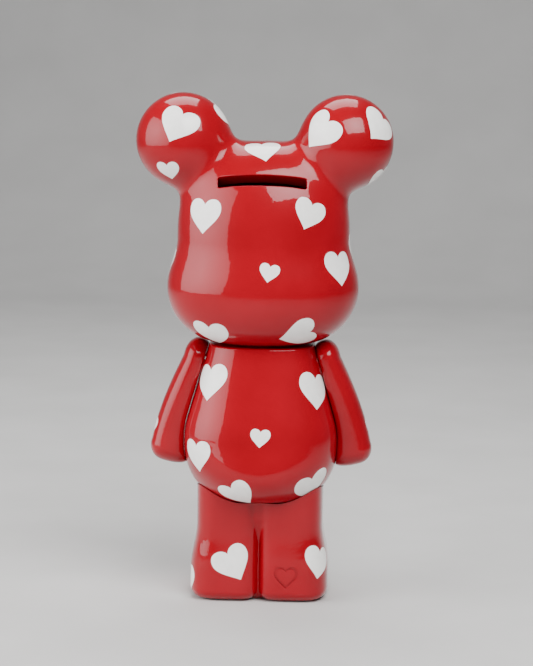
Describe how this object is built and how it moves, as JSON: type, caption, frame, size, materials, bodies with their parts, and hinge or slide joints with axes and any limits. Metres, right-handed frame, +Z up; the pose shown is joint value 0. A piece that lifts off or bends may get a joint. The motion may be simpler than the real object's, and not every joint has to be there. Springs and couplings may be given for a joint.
{
  "type": "bear figure coin bank",
  "caption": "Standing glossy bear figure with ball ears, a coin slot in the back of the head, turning head, torso and arms, and a stopper in the base.",
  "frame": {"origin": "bottom centre of the figure's bounding box, on the floor plane under the feet", "axes": "+Z up, the figure faces -Y, its own left side is +X"},
  "size_m": [0.141, 0.0879, 0.2795],
  "materials": {
    "lacquer": "high gloss clear coat",
    "collar": "satin",
    "peg": "matte",
    "clip": "bright",
    "stopper": "matte"
  },
  "bodies": {
    "legs": {"legs_shell": "lacquer", "waist_collar": "collar"},
    "torso": {"torso_shell": "lacquer", "neck_collar": "collar"},
    "head": {"head_shell": "lacquer"},
    "left_arm_body": {"left_arm": "lacquer", "left_shoulder_peg": "peg", "left_peg_clip": "clip"},
    "right_arm_body": {"right_arm": "lacquer", "right_shoulder_peg": "peg", "right_peg_clip": "clip"},
    "stopper": {"base_stopper": "stopper"}
  },
  "joints": [
    {"name": "waist_turn", "type": "hinge", "parent": "legs", "child": "torso", "pos_m": [0, 0, 0.056], "axis": [0, 0, 1], "continuous": true},
    {"name": "neck_turn", "type": "hinge", "parent": "torso", "child": "head", "pos_m": [0, 0, 0.1425], "axis": [0, 0, 1], "continuous": true},
    {"name": "left_shoulder", "type": "hinge", "parent": "torso", "child": "left_arm_body", "pos_m": [0.03239, 0, 0.13], "axis": [0.9608, 0, 0.2773], "range_deg": [-90, 90]},
    {"name": "right_shoulder", "type": "hinge", "parent": "torso", "child": "right_arm_body", "pos_m": [-0.03239, 0, 0.13], "axis": [0.9608, 0, -0.2773], "range_deg": [-90, 90]},
    {"name": "stopper_pull", "type": "slide", "parent": "legs", "child": "stopper", "axis": [0, 0, -1], "range_m": [0, 0.014]}
  ]
}
